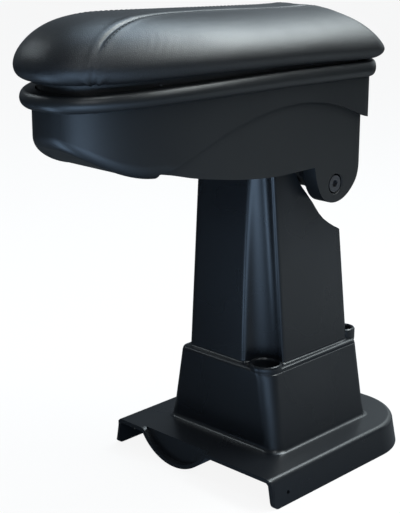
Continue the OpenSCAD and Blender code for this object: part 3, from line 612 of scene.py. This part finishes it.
# The tub is one moulding: a deep nose with a rounded chine, straight sides cut away in an arch over the hood,
# and a rolled bead round the rim that thins out toward the rear.
KEEL, CREASE = 232.5, 279.5
LOOP = 900
wall = even(plan(0, 160, 60, 40, 30), LOOP)
inward = even(plan(-9, 160, 60, 40, 30), LOOP)
chine = np.clip((wall[:, 0] - 132) / 16, 0, 1)
chine = (chine * chine * (3 - 2 * chine))[:, None]
keel = KEEL + 19.5 * np.clip((wall[:, 0] - 152) / 51.5, 0, 1) ** 1.9


def tub_ring(d, z):
    """One level of the tub's skin, d millimetres inside its widest outline."""
    return np.column_stack([wall + (inward - wall) * chine * d / 9, np.broadcast_to(z, LOOP)])


def bead_ring(share_out, z):
    reach_out = 7.5 * share_out * np.clip(0.62 + 0.38 * (wall[:, 0] - 40) / 120, 0.62, 1.0)
    step = np.roll(wall, -1, 0) - np.roll(wall, 1, 0)
    step /= np.linalg.norm(step, axis=1)[:, None]
    return np.column_stack([wall + np.stack([step[:, 1], -step[:, 0]], 1) * reach_out[:, None], z])


rings = []
for t in np.radians(np.linspace(0, 90, 12)):
    rings.append(tub_ring(9 * (1 - math.sin(t)), keel + 11 * (1 - math.cos(t))))
for share in np.linspace(0, 1, 14)[1:]:
    rings.append(tub_ring(0, (keel + 11) * (1 - share) + (CREASE + settled(wall[:, 0]) - 0.8) * share))
low, high = CREASE + settled(wall[:, 0]), RIM_Z + settled(wall[:, 0])
for t in np.radians(np.linspace(0, 165, 22)):
    share = (1 - math.cos(t)) / (1 - math.cos(math.radians(165)))
    reach_out = math.sin(t) ** 0.75 * 0.95 if t < math.pi / 2 else 0.28 + 0.67 * math.sin(t) ** 0.8
    rings.append(bead_ring(reach_out, low + (high - low) * share))
rings = np.array(rings)


def ringed(name, rings, look):
    """A closed skin over stacked rings of full points, with fans over both ends."""
    m, count = rings.shape[:2]
    verts = [mm(*q) for q in rings.reshape(-1, 3)]
    index = np.arange(m * count).reshape(m, count)
    faces = []
    for i in range(m - 1):
        faces += list(np.stack([index[i], np.roll(index[i], -1), np.roll(index[i + 1], -1), index[i + 1]], 1))
    for row, turned_over in ((0, True), (m - 1, False)):
        half_count = count // 2
        for i in range(half_count - 1):
            quad = [index[row][i], index[row][i + 1], index[row][count - 2 - i], index[row][count - 1 - i]]
            faces.append(quad[::-1] if turned_over else quad)
    return mesh_piece(name, verts, faces, look)


tub = ringed("tub_moulding", rings, tub_plastic)
# Its inside: a ledged mouth, the floor box over the hood, and the nose's own hollow.
POCKET, LEDGE, FLOOR = 268.0, 270.5, 241.75


def level_prism(name, d, rear, z0, z1, x_end=400.0):
    shape = even(plan(-d, 120, 40, 30, 20), 360)
    shape[:, 0] = np.clip(shape[:, 0], rear, x_end)
    return extruded_level(name, shape, z0, z1)


def extruded_level(name, shape, z0, z1):
    count = len(shape)
    verts = [mm(x, y, z) for z in (z0, z1) for x, y in shape]
    faces = [list(range(count))[::-1], list(range(count, 2 * count))]
    faces += [(i, (i + 1) % count, (i + 1) % count + count, i + count) for i in range(count)]
    return mesh_piece(name, verts, faces, tub_plastic)


carve(tub, level_prism("mouth", 2.5, -52.5, LEDGE, 300))
carve(tub, level_prism("box", 8.3 + 2.6 + 0.2, -40.0, FLOOR, LEDGE + 1, 150.5))
nose_rings = []
for d, h in ((10, 0), (6, 1.6), (3, 4), (1, 8), (0, 12)):
    shape = even(plan(-2.5 - d, 160, 60, 40, 30), LOOP)
    nose_rings.append(np.column_stack([np.clip(shape[:, 0], 150.4, 400), shape[:, 1], keel + 3.2 + h]))
nose_rings.append(np.column_stack([np.clip(shape[:, 0], 150.4, 400), shape[:, 1], np.full(LOOP, 292.0)]))
carve(tub, ringed("nose hollow", np.array(nose_rings), tub_plastic))

# The hood sits under the arch, its sides a wall's thickness inside the tub's skin.
ARCH = [(148.1, 235.7), (140, 237.7), (129, 242.9), (117, 248), (104, 254), (89, 258.5), (70.6, 262.7),
        (51.6, 265.8), (30.5, 266.3), (14.6, 265.3), (-6.5, 261.3), (-22, 256.4), (-35, 250.8),
        (-43.4, 247.5), (-48, 247)]
arch = np.array(ARCH)
line = np.concatenate([[0], np.cumsum(np.hypot(*np.diff(arch, axis=0).T))])
arch = soft(np.stack([np.interp(np.linspace(0, line[-1], 160), line, arch[:, k]) for k in range(2)], 1), 60)
below = [tuple(q) for q in arch] + [(-80, 247), (-80, 200), (148.2, 200)]
window = extruded("arch", below, -90, 90, 1, tub_plastic)
keep = level_prism("box wall", 8.4, -42.6, 239.15, 300, 149)
carve(window, keep)
carve(tub, window)
pocket = level_prism("pocket", 2.5, -52.5, 200, POCKET, 147.8)
carve(pocket, level_prism("box wall", 8.4, -42.6, 239.15, 300, 149))
carve(tub, pocket)
# The lid's hinge sits in a notch in the rear wall.
notch = [(-84, 285), (-51, 285), (-51, 300), (-84, 300)]
carve(tub, extruded("hinge notch", notch, -17.5, 17.5, 1, tub_plastic))
soften(tub, 0.0005)
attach(tub, "arm")
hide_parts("tub")


# The hood carries the tub: two side plates that sweep down to the pivot ears, joined by a level web under
# the tub's floor. It is a grained black moulding, and the bolt's head sits in a recess in its near ear.
hood_plastic = plastic("hood_plastic", (0.0075, 0.008, 0.0085), 0.40, 0.2, 1500.0)
PIVOT = (-14.6, 204.0)
HOOD_LOW = [(147.8, 236), (138, 234.3), (125, 230.3), (106, 227), (88, 223.7), (57, 219.9), (38, 219.2),
            (9, 219.2)]
EAR_LOW = [(9, 219.2), (6.4, 208.5), (2.4, 199.5), (-2.1, 194.5), (-7.6, 191.6), (-13.1, 190.8), (-18.6, 191),
           (-24.6, 192.8), (-30.6, 196.6), (-36.6, 202.8), (-41.6, 211), (-45.1, 220), (-47.4, 231),
           (-48.9, 243), (-49.2, 267.8)]


def eased(points, count, rounds):
    points = np.array(points, float)
    length = np.concatenate([[0], np.cumsum(np.hypot(*np.diff(points, axis=0).T))])
    at = np.linspace(0, length[-1], count)
    return soft(np.stack([np.interp(at, length, points[:, k]) for k in range(2)], 1), rounds)


def offset_prism(name, d, rear, corner_r, z0, z1, x_end=400.0):
    """A level prism over the tub's plan set in by d, with its own square-cornered rear."""
    shape = even(plan(-d, 120, 40, 30, 20), 480)
    shape[:, 0] = np.clip(shape[:, 0], -400, x_end)
    front = shape[shape[:, 0] > rear + corner_r]
    hw = HALF_W - d
    order = np.argsort(np.arctan2(front[:, 1], front[:, 0] - rear - corner_r - 0.01))
    front = front[order]
    back = np.concatenate([arc(rear + corner_r, hw - corner_r, corner_r, 92, 180, 14),
                           arc(rear + corner_r, -hw + corner_r, corner_r, 180, 268, 14)])
    return extruded_level(name, np.concatenate([front, back]), z0, z1)


hood_side = np.concatenate([eased(HOOD_LOW, 120, 60)[:-1], eased(EAR_LOW, 200, 40)])
hood = extruded("hood_moulding", [tuple(q) for q in hood_side] + [(147.8, 267.8)], -60, 60, 1, hood_plastic)
carve(hood, offset_prism("hood plan", 2.65, -48.5, 13.0, 180, 300), "INTERSECT")
carve(hood, offset_prism("hood inside", 5.65, -45.5, 10.0, 239, 300))
carve(hood, offset_prism("under the web", 5.65, 9, 0.2, 150, 236, 150))
between = [(-45.5, -35.65), (9.5, -35.65), (9.5, 35.65), (-45.5, 35.65)]
carve(hood, extruded_level("between ears", between, 150, 236))
boss = [(0, 0), (4.6, 0), (5, 0.4), (5, 8), (0, 8)]
for x in (60, 100):
    for y in (-18, 18):
        carve(hood, turned("boss", boss, (x, y, 229), "z", hood_plastic, 40), "UNION")
        carve(hood, rod("boss hole", 1.75, (x, y, 220), 30, "z"))
carve(hood, rod("pivot hole", 4.15, (PIVOT[0], -60, PIVOT[1]), 120, "y"))
dish = [(0, 0), (6.7, 0), (7.0, 0.3), (7.1, 4.2), (8.6, 5.35), (8.6, 12), (0, 12)]
carve(hood, turned("recess", dish, (PIVOT[0], 42.35, PIVOT[1]), "y", hood_plastic))
carve(hood, rod("nut recess", 7.9, (PIVOT[0], -60, PIVOT[1]), 17.65, "y"))
soften(hood, 0.0005)
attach(hood, "arm")
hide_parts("hood")


# The lid is a stiff hinged panel, a fibre board and a foam pad, and over them the cover: black leatherette
# drawn tight, with a pebbled grain a millimetre across and finer creases in it.
dress({
    "matt_black": hood_plastic,
    "board": plastic("board_fibre", (0.03, 0.027, 0.024), 0.8, 0.4, 700.0),
    "foam": plastic("foam_cells", (0.3, 0.3, 0.31), 0.9, 1.0, 1200.0),
})
leather, n = material("leatherette")
place = n.add("ShaderNodeTexCoord").outputs["Object"]
bend = n.add("ShaderNodeTexNoise", {"Vector": place, "Scale": 260.0, "Detail": 2.0})
mixed = n.add("ShaderNodeMix", {"Factor": 0.002, "A": place, "B": bend.outputs["Color"]}, data_type="VECTOR")
cells = n.add("ShaderNodeTexVoronoi", {"Vector": mixed.outputs["Result"], "Scale": 900.0},
              feature="DISTANCE_TO_EDGE")
pebble = n.add("ShaderNodeMapRange", {"Value": cells.outputs["Distance"], "From Min": 0.0, "From Max": 0.25})
fine = n.add("ShaderNodeTexNoise", {"Vector": place, "Scale": 2600.0, "Detail": 3.0})
relief = n.add("ShaderNodeMath", {0: fine.outputs["Fac"], 1: 0.35, 2: pebble.outputs[0]},
               operation="MULTIPLY_ADD")
bump = n.add("ShaderNodeBump", {"Height": relief.outputs[0], "Strength": 0.35, "Distance": 0.00012})
cloud = n.add("ShaderNodeTexNoise", {"Vector": place, "Scale": 22.0, "Detail": 3.0})
ways = n.add("ShaderNodeMapRange", {"Value": cloud.outputs["Fac"], "From Min": 0.3, "From Max": 0.7,
                                    "To Min": 0.36, "To Max": 0.46})
# The grain's creases are painted darker than its pebbles, painted shade in the hollows.
PAINTED_CREASE_SHADE, PEBBLE_BLACK = (0.006, 0.006, 0.006, 1), (0.013, 0.013, 0.014, 1)
tint = n.add("ShaderNodeMix", {"Factor": pebble.outputs[0], "A": PAINTED_CREASE_SHADE, "B": PEBBLE_BLACK},
             data_type="RGBA")
shader = n.add("ShaderNodeBsdfPrincipled", {
    "Base Color": tint.outputs["Result"], "Roughness": ways.outputs[0],
    "Normal": bump.outputs[0], "IOR": 1.5})
n.link(shader.outputs[0], n.add("ShaderNodeOutputMaterial").inputs[0])

# The cover is a firm crowned pad whose skirt tucks in under its edge, higher at the nose than at the rear.
AROUND, ACROSS = 760, 128


def profile(points):
    """Height and overhang at even steps from the cover's lower edge to its middle, corners eased."""
    points = np.array(points)
    length = np.concatenate([[0], np.cumsum(np.hypot(*np.diff(points, axis=0).T))])
    steps = np.linspace(0, length[-1], 400)
    eased = soft(np.stack([np.interp(steps, length, points[:, k]) for k in range(2)], 1), 220)
    length = np.concatenate([[0], np.cumsum(np.hypot(*np.diff(eased, axis=0).T))])
    steps = np.linspace(0, length[-1], ACROSS)
    return np.stack([np.interp(steps, length, eased[:, k]) for k in range(2)], 1)


LIP = [(0.6, -3.0), (0.0, 1.0), (0.3, 4.0), (1.4, 6.8), (3.4, 9.0)]
side = profile(LIP + [(6.5, 10.3), (10, 10.4), (14, 9.2), (18, 6.8), (22, 3.3), (25.5, -0.8), (28.5, -5.6),
                      (31, -11), (33, -17.5), (34.4, -25), (35.3, -34), (36, -46)])
rear = profile(LIP + [(5.6, 10.4), (8.4, 9.4), (12, 6.0), (16, 1.6), (20, -3.2), (24, -7.8), (28, -12),
                      (31, -15.4), (33.5, -19.4), (35, -25), (35.8, -33), (36, -46)])
outline = even(plan(10.6, 160, 60, 40, 30), AROUND)
ahead = np.roll(outline, -1, 0) - np.roll(outline, 1, 0)
facing = ahead[:, 1] / np.linalg.norm(ahead, axis=1)
share = soft(np.clip((-facing - 0.15) / 0.7, 0, 1), 30, True)
spine = np.stack([np.clip(outline[:, 0], -6, 146), np.zeros(AROUND)], 1)
rows = []
for k in range(ACROSS):
    height = side[k, 0] + (rear[k, 0] - side[k, 0]) * share
    out = side[k, 1] + (rear[k, 1] - side[k, 1]) * share
    xy = outline + (spine - outline) * ((10.4 - out) / 56.4)[:, None]
    t = np.clip((xy[:, 0] + 64) / 267.5, 0, 1)
    edge = COVER_Z + 4.5 * t + settled(xy[:, 0])
    crown = np.interp(xy[:, 0], [-66, 0, 100, 150, 214], [0.6, -0.4, 0.4, 1.2, 0.2])
    top = COVER_Z + 4.5 * t + 31 + 4.5 * t + crown
    rows.append(np.column_stack([xy, edge + (top - edge) * height / 36]))
grid = np.array(rows)

# Two seams run from the rear along the top and flare out round a separate nose panel. The leatherette dips
# into them, stands a little proud beside them, and puckers where they end at the nose's lower edge.
half = np.array([(-70, 12.0), (-20, 11.6), (40, 11.2), (80, 11.2), (104, 12.4), (120, 14.6), (146, 21.4),
                 (160, 25.0), (170, 27.6), (180, 30.2), (189.6, 32.7), (195.6, 33.6), (198.5, 33.4)])
span = np.concatenate([[0], np.cumsum(np.hypot(*np.diff(half, axis=0).T))])
trace = np.linspace(0, span[-1], 500)
half = soft(np.stack([np.interp(trace, span, half[:, k]) for k in range(2)], 1), 250)
flat_grid = grid.reshape(-1, 3)


def on_pad(points):
    """Lift plan points on to the cover's upper side."""
    upper = grid[11:].reshape(-1, 3)
    lifted = []
    for x, y in points:
        near = np.argsort(np.hypot(upper[:, 0] - x, upper[:, 1] - y))[:4]
        weight = 1 / (np.hypot(upper[near, 0] - x, upper[near, 1] - y) + 0.05)
        lifted.append((weight[:, None] * upper[near]).sum(0) / weight.sum())
    return np.array(lifted)


# Down the nose the seam falls steeply, so its last stretch follows the cover's own rows instead of the plan.
column = int(np.argmin(np.hypot(grid[34, :, 0] - 195.6, grid[34, :, 1] - 33.4)))
rows_down = np.array([grid[k, column] for k in range(31, 2, -1)])
top_run = on_pad(half[half[:, 0] < 188])
near_seam = soft(np.concatenate([top_run, rows_down]), 40)
seams = [near_seam, near_seam * (1, -1, 1)]
turn_u, turn_v = np.roll(grid, -1, 1) - np.roll(grid, 1, 1), np.gradient(grid, axis=0)
normals = np.cross(turn_u, turn_v)
normals /= np.linalg.norm(normals, axis=2)[:, :, None] + 1e-9
lift = np.zeros(grid.shape[:2])
for line in seams:
    away = np.full(len(flat_grid), 1e9)
    for point in line:
        away = np.minimum(away, ((flat_grid - point) ** 2).sum(1))
    away = np.sqrt(away).reshape(grid.shape[:2])
    lift += -0.9 * np.exp(-(away / 0.95) ** 2) + 0.3 * np.exp(-((away - 3.2) / 2.0) ** 2)
    # Puckers fan out from the seam's foot
    foot = line[-8]
    along = np.linalg.norm(grid - foot, axis=2)
    sideways = (grid[:, :, 0] - foot[0]) * 0.6 - (grid[:, :, 1] - foot[1]) * np.sign(foot[1]) * 0.8
    lean = np.arctan2(grid[:, :, 2] - foot[2] + 3, sideways)
    lift += 0.5 * np.sin(lean * 9) * np.exp(-(along / 9) ** 2)
# The cover is drawn tight over foam: broad, shallow unevenness, stronger behind the flare of the seams.
x, y, z = grid[:, :, 0], grid[:, :, 1], grid[:, :, 2]
lift += 0.22 * np.sin(x / 17 + 1.3 * np.sin(y / 21)) * np.sin(y / 13 + z / 11 + 0.6)
# Fine drag lines lie beside the near flare alone.
here = np.exp(-((x - 152) / 17) ** 2 - ((z - 314) / 8.5) ** 2)
fine_lines = np.sin((x * 0.9 + z * 0.5 + 2.2 * np.sin(z / 5.0)) * 1.15) * here * (y > 0)
lift += 0.03 * fine_lines
grid = grid + normals * lift[:, :, None]
index = np.arange(ACROSS * AROUND).reshape(ACROSS, AROUND)
faces = []
for i in range(ACROSS - 1):
    a, b = index[i], index[i + 1]
    faces += list(np.stack([a, np.roll(a, -1), np.roll(b, -1), b], 1))
cover = mesh_piece("padded_cover", [mm(*p) for p in grid.reshape(-1, 3)], faces, leather)
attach(cover, "lid")
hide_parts("pad_cover", "foam_pad")


# The seams are top-stitched: a row of short stitches in black thread follows each one on its outer side.
# Nodes place one bead of thread for each stitch along the seam.
thread = plastic("sewing_thread", (0.02, 0.02, 0.021), 0.5, 0.3, 4000.0)
tree = bpy.data.node_groups.new("stitch_row", "GeometryNodeTree")
tree.is_modifier = True
for label, kind, way, value in (
        ("Seam", "NodeSocketGeometry", "INPUT", None), ("Spacing", "NodeSocketFloat", "INPUT", 0.0036),
        ("Stitch Length", "NodeSocketFloat", "INPUT", 0.0026),
        ("Thread Radius", "NodeSocketFloat", "INPUT", 0.00028),
        ("Stitches", "NodeSocketGeometry", "OUTPUT", None)):
    made = tree.interface.new_socket(name=label, in_out=way, socket_type=kind)
    if value is not None:
        made.default_value = value
g = Nodes(tree)
given = g.add("NodeGroupInput")
line = g.add("GeometryNodeMeshToCurve", {"Mesh": given.outputs["Seam"]})
spaced = g.add("GeometryNodeResampleCurve", {
    "Curve": line.outputs["Curve"], "Length": given.outputs["Spacing"]}, mode="LENGTH")
bead = g.add("GeometryNodeMeshIcoSphere", {"Radius": given.outputs["Thread Radius"], "Subdivisions": 2})
ratio = g.add("ShaderNodeMath", {0: given.outputs["Stitch Length"], 1: given.outputs["Thread Radius"]},
              operation="DIVIDE")
halved = g.add("ShaderNodeMath", {0: ratio.outputs[0], 1: 0.5}, operation="MULTIPLY")
size = g.add("ShaderNodeCombineXYZ", {"X": halved.outputs[0], "Y": 1.0, "Z": 1.0})
tangent = g.add("GeometryNodeInputTangent")
turned_to = g.add("FunctionNodeAlignRotationToVector", {"Vector": tangent.outputs[0]}, axis="X")
placed = g.add("GeometryNodeInstanceOnPoints", {"Points": spaced.outputs[0], "Instance": bead.outputs["Mesh"],
                                                "Rotation": turned_to.outputs[0], "Scale": size.outputs[0]})
real = g.add("GeometryNodeRealizeInstances", {"Geometry": placed.outputs[0]})
dressed = g.add("GeometryNodeSetMaterial", {"Geometry": real.outputs[0], "Material": thread})
g.link(dressed.outputs[0], g.add("NodeGroupOutput").inputs["Stitches"])
lines, links, count = [], [], 0
for line in seams:
    outward = np.cross(np.gradient(line, axis=0), (0, 0, 1.0))
    outward /= np.linalg.norm(outward, axis=1)[:, None] + 1e-9
    outward *= np.sign((outward * (line - (100, 0, 300))).sum(1))[:, None]
    beside = soft(line + outward * 2.3 + (0, 0, 0.12), 20)[20:-14]
    nearest = [flat_grid[np.argmin(((flat_grid - q) ** 2).sum(1))] for q in beside]
    beside[:, 2] = soft(np.array(nearest)[:, 2], 12) + 0.25
    lines += [mm(*q) for q in beside]
    links += [(count + i, count + i + 1) for i in range(len(beside) - 1)]
    count += len(beside)
path_mesh = bpy.data.meshes.new("seam_path")
path_mesh.from_pydata(lines, links, [])
sewn = bpy.data.objects.new("seam_stitches", path_mesh)
bpy.context.scene.collection.objects.link(sewn)
sewn.modifiers.new("stitch row", "NODES").node_group = tree
done = bpy.data.meshes.new_from_object(sewn.evaluated_get(bpy.context.evaluated_depsgraph_get()))
sewn.modifiers.clear()
sewn.data = done
done.polygons.foreach_set("use_smooth", [True] * len(done.polygons))
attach(sewn, "lid")
